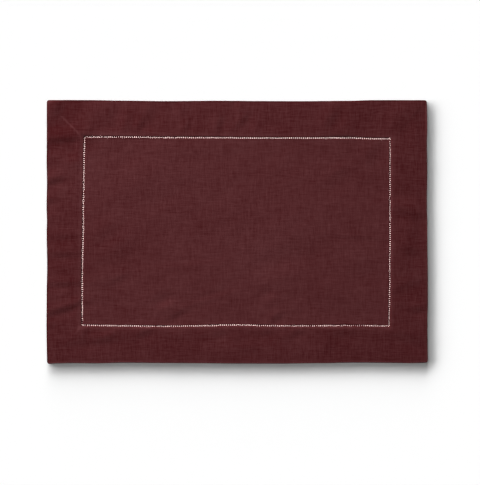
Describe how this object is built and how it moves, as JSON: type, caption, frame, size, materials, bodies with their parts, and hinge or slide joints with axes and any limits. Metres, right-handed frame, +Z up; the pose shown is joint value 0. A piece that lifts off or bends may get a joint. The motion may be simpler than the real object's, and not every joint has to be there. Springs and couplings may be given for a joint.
{
  "type": "placemat",
  "caption": "Rectangular hemstitched linen placemat lying flat, with a wide mitred hem and a drawn-thread line round its field.",
  "frame": {"origin": "middle of the flat underside", "axes": "+X along the long sides, +Y along the short sides to the side that is the top in the picture, +Z up, out of the front of the cloth"},
  "size_m": [0.5093, 0.3522, 0.0028],
  "materials": {
    "linen": "matt plain-weave linen, wine red"
  },
  "bodies": {
    "root": {"placemat": "linen"}
  },
  "joints": []
}
